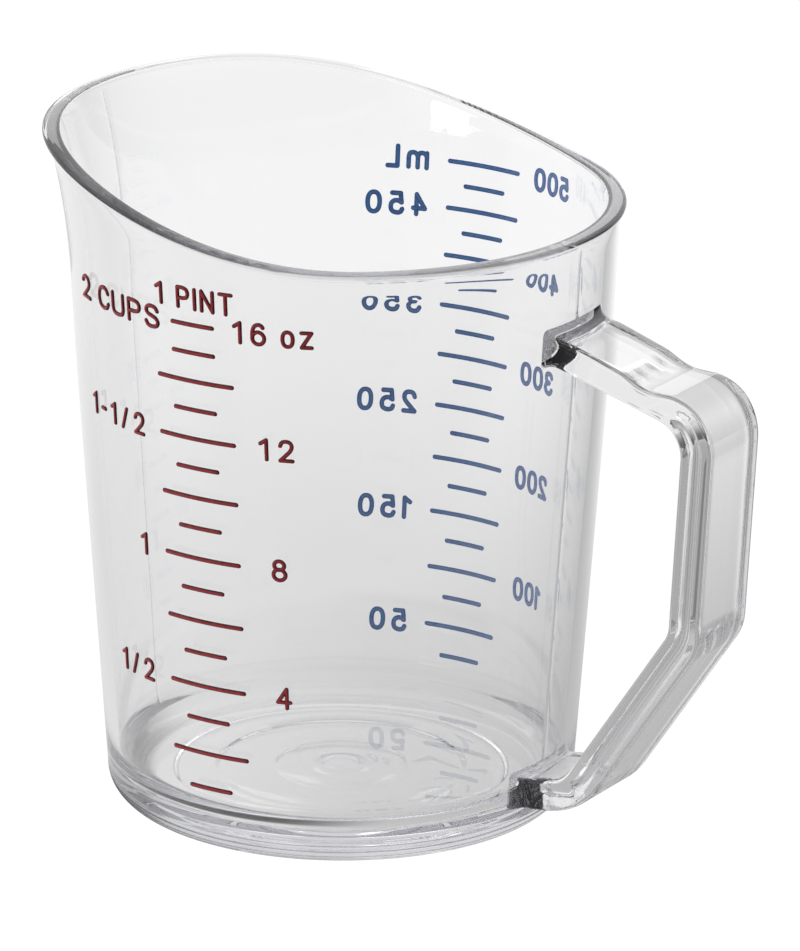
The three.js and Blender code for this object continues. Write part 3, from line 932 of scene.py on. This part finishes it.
# %% Camera
AZIMUTH, ELEVATION, ROLL = (math.radians(v) for v in (32.431, 18.515, 0.321))
DISTANCE, FOCAL_PX, LOOK_AT = 1301.56, 7667.04, Vector((0, 0, 60))
OFF_AXIS_X, OFF_AXIS_Y = 57.32, -22.08
IMAGE_HEIGHT, SENSOR = 951, 36
to_camera = Vector((math.sin(AZIMUTH), -math.cos(AZIMUTH), 0))
to_right = Vector((math.cos(AZIMUTH), math.sin(AZIMUTH), 0))
back = to_camera * math.cos(ELEVATION) + Vector((0, 0, math.sin(ELEVATION)))
up = back.cross(to_right)
right, up = (
    to_right * math.cos(ROLL) + up * math.sin(ROLL), up * math.cos(ROLL) - to_right * math.sin(ROLL))
forward = (right * OFF_AXIS_X + up * OFF_AXIS_Y - back * FOCAL_PX).normalized()
side = forward.cross(up).normalized()
camera_data = bpy.data.cameras.new("camera")
camera_data.sensor_width = SENSOR
camera_data.lens = FOCAL_PX * SENSOR / IMAGE_HEIGHT
camera_data.clip_start, camera_data.clip_end = 0.05, 20
camera = bpy.data.objects.new("camera", camera_data)
bpy.context.collection.objects.link(camera)
turn = Matrix((side, side.cross(forward), -forward)).transposed().to_4x4()
camera.matrix_world = Matrix.Translation(
    (back * DISTANCE + LOOK_AT) * MM + Vector((AXIS_X, 0, 0))) @ turn
scene = bpy.context.scene
scene.camera = camera
scene.view_settings.view_transform = "Standard"
print("lens in mm:", round(camera_data.lens, 1))

# %% [markdown]
# A clear object has no colour of its own, so it shows what stands round it. Against a white ground
# its edges are drawn by the dark parts of the room that they bend into view. The cup stands on a
# floor that glows white, as a light table does. The camera sees it evenly white, but the light that
# it gives to the cup is dimmer towards the camera and at both sides, most at the right. Part of that
# dimming is painted shade: the glow is dimmer at the cup and on the camera's side than far behind
# it, and a dark ring in it, a painted contact shadow, follows the foot's corner at the left front.
# Light runs far inside the walls before it comes out, so it may turn many times.

# %% The light table
BOUNCES = 64
FLOOR_RADIUS, FLOOR_GAP = 1.4, 0.0002
FLOOR_WHITE, FLOOR_LEFT, FLOOR_RIGHT, FLOOR_NEAR, FLOOR_SHADE_UNDER = 1.03, 0.88, 0.55, 0.5, 0.78
FLOOR_CONTACT_SHADOW = 0.1
cycles = scene.cycles
cycles.max_bounces = cycles.transmission_bounces = cycles.glossy_bounces = BOUNCES
bpy.ops.object.select_all(action="DESELECT")
bpy.ops.mesh.primitive_circle_add(
    vertices=96, radius=FLOOR_RADIUS, fill_type="NGON", location=(AXIS_X, 0, -FLOOR_GAP))
floor = bpy.context.active_object
floor.name = "floor"


def bare_material(name):
    """A material with no nodes yet, and the helper that adds them."""
    material = bpy.data.materials.new(name)
    material.use_nodes = True
    material.node_tree.nodes.clear()
    return material, Nodes(material.node_tree)


def how_far(n, place, direction):
    """How far a place or a direction reaches along another direction."""
    return n.add("ShaderNodeVectorMath", {0: place, 1: direction}, operation="DOT_PRODUCT").outputs["Value"]


def glow_of(n, strength):
    """End a tree in a plain glow."""
    shine = n.add("ShaderNodeEmission", {"Strength": strength})
    n.add("ShaderNodeOutputMaterial", {"Surface": shine.outputs["Emission"]})


def for_camera(n, seen_by_others, seen_by_camera):
    """One value for what the camera sees directly and another for all other light."""
    is_camera = n.add("ShaderNodeLightPath").outputs["Is Camera Ray"]
    return n.add("ShaderNodeMix", {
        "Factor": is_camera, "A": seen_by_others, "B": seen_by_camera}, data_type="FLOAT").outputs["Result"]


floor_material, n = bare_material("light table")
where = n.add("ShaderNodeTexCoord").outputs["Object"]
towards, right_of = how_far(n, where, to_camera), how_far(n, where, to_right)
# Each fade runs between two places in metres from the cup's axis
near_side = n.fade(towards, 0.03, 0.14, 1.0, FLOOR_NEAR)
# Painted shade from the cup: the glow dims from far behind the cup to the cup itself and stays dim on the
# camera's side
behind = n.fade(towards, -0.3, 0.0, 1.0, FLOOR_SHADE_UNDER)
right_side = n.fade(n.math("MULTIPLY_ADD", towards, 0.5, right_of), -0.07, 0.1, 1.0, FLOOR_RIGHT)
left_side = n.fade(right_of, -0.12, -0.03, FLOOR_LEFT, 1.0)
radius = n.add("ShaderNodeVectorMath", {0: where}, operation="LENGTH").outputs["Value"]
# Painted contact shadow: the glow is darkened in a ring round the foot's corner, only at the left front
ring_shadow = n.math(
    "MULTIPLY", n.fade(radius, 0.032, 0.035, 0.0, 1.0), n.fade(radius, 0.040, 0.045, 1.0, 0.0))
left_front = n.fade(n.math("MULTIPLY_ADD", towards, -0.6, right_of), -0.035, -0.01, 1.0, 0.0)
contact_shadow = n.math("MULTIPLY", ring_shadow, left_front)
shadow = n.math("SUBTRACT", 1.0, n.math("MULTIPLY", contact_shadow, 1 - FLOOR_CONTACT_SHADOW))
glow = near_side
for part in (behind, right_side, left_side, shadow):
    glow = n.math("MULTIPLY", glow, part)
glow_of(n, for_camera(n, glow, FLOOR_WHITE))
floor.data.materials.append(floor_material)
print("light table of radius", FLOOR_RADIUS, "m")

# %% [markdown]
# The room is light above and behind the cup, dark at the right, and dimmer on the camera's side.

# %% The room
ROOM_TOP, ROOM_HORIZON, ROOM_RIGHT, ROOM_CAMERA_SIDE = 0.95, 0.95, 0.12, 0.4
world = bpy.data.worlds.new("studio")
scene.world = world
world.use_nodes = True
n = Nodes(world.node_tree)
direction = n.add("ShaderNodeTexCoord").outputs["Generated"]
height = n.add("ShaderNodeSeparateXYZ", {0: direction}).outputs["Z"]
frontwards, rightwards = how_far(n, direction, to_camera), how_far(n, direction, to_right)
around = n.math("MULTIPLY_ADD", frontwards, 0.7, rightwards)
horizon = n.fade(around, 0.0, 0.4, ROOM_HORIZON, ROOM_RIGHT)
strength = n.math("MULTIPLY", n.fade(height, 0.05, 0.6, horizon, ROOM_TOP),
                  n.fade(frontwards, 0.1, 0.8, 1.0, ROOM_CAMERA_SIDE))
background = world.node_tree.nodes["Background"]
background.inputs["Color"].default_value = (1, 1, 1, 1)
n.link(for_camera(n, strength, FLOOR_WHITE), background.inputs["Strength"])
print("room:", world.name)

# %% [markdown]
# Three cards of light stand in the room. A low window on the left of the camera shows on the far
# wall below the rim. Two lights behind the cup are mirrored by the flat rim at its left and right
# ends, where it would be dark. A card lights and mirrors, but it doesn't hide the cup from a camera
# that looks from behind it.

# %% Light cards
CARDS_BEHIND, WINDOW_LIGHT, RIM_LIGHT = 350, 2.2, 2.1


def light_card(name, corners, strength, soft=None):
    """A glowing card, which may rise from the room's light between two places along to_right."""
    mesh = bpy.data.meshes.new(name)
    mesh.from_pydata([Vector(p) * MM + Vector((AXIS_X, 0, 0)) for p in corners], [], [range(len(corners))])
    obj = bpy.data.objects.new(name, mesh)
    bpy.context.collection.objects.link(obj)
    material, n = bare_material(name)
    if soft:
        place = how_far(n, n.add("ShaderNodeTexCoord").outputs["Object"], to_right)
        start, end = (v * MM + AXIS_X * to_right.x for v in soft)
        strength = n.fade(place, start, end, ROOM_HORIZON, strength)
    glow_of(n, strength)
    obj.data.materials.append(material)
    obj.visible_camera = False


def behind_cup(along_right, height):
    """A place on the upright plane behind the cup that the flat rim mirrors."""
    return to_right * along_right - to_camera * CARDS_BEHIND + Vector((0, 0, height))


light_card("window card", ((-64, -445, 61), (-201, -403, 42), (-245, -378, 66), (-80, -444, 100)),
           WINDOW_LIGHT)
light_card("left rim card", [behind_cup(*p) for p in (
    (-135, 190), (-8, 190), (-8, 300), (-135, 300))], RIM_LIGHT, (-12, -34))
light_card("right rim card", [behind_cup(*p) for p in (
    (38, 190), (120, 190), (120, 235), (92, 290), (50, 290), (38, 228))], RIM_LIGHT, (39, 52))
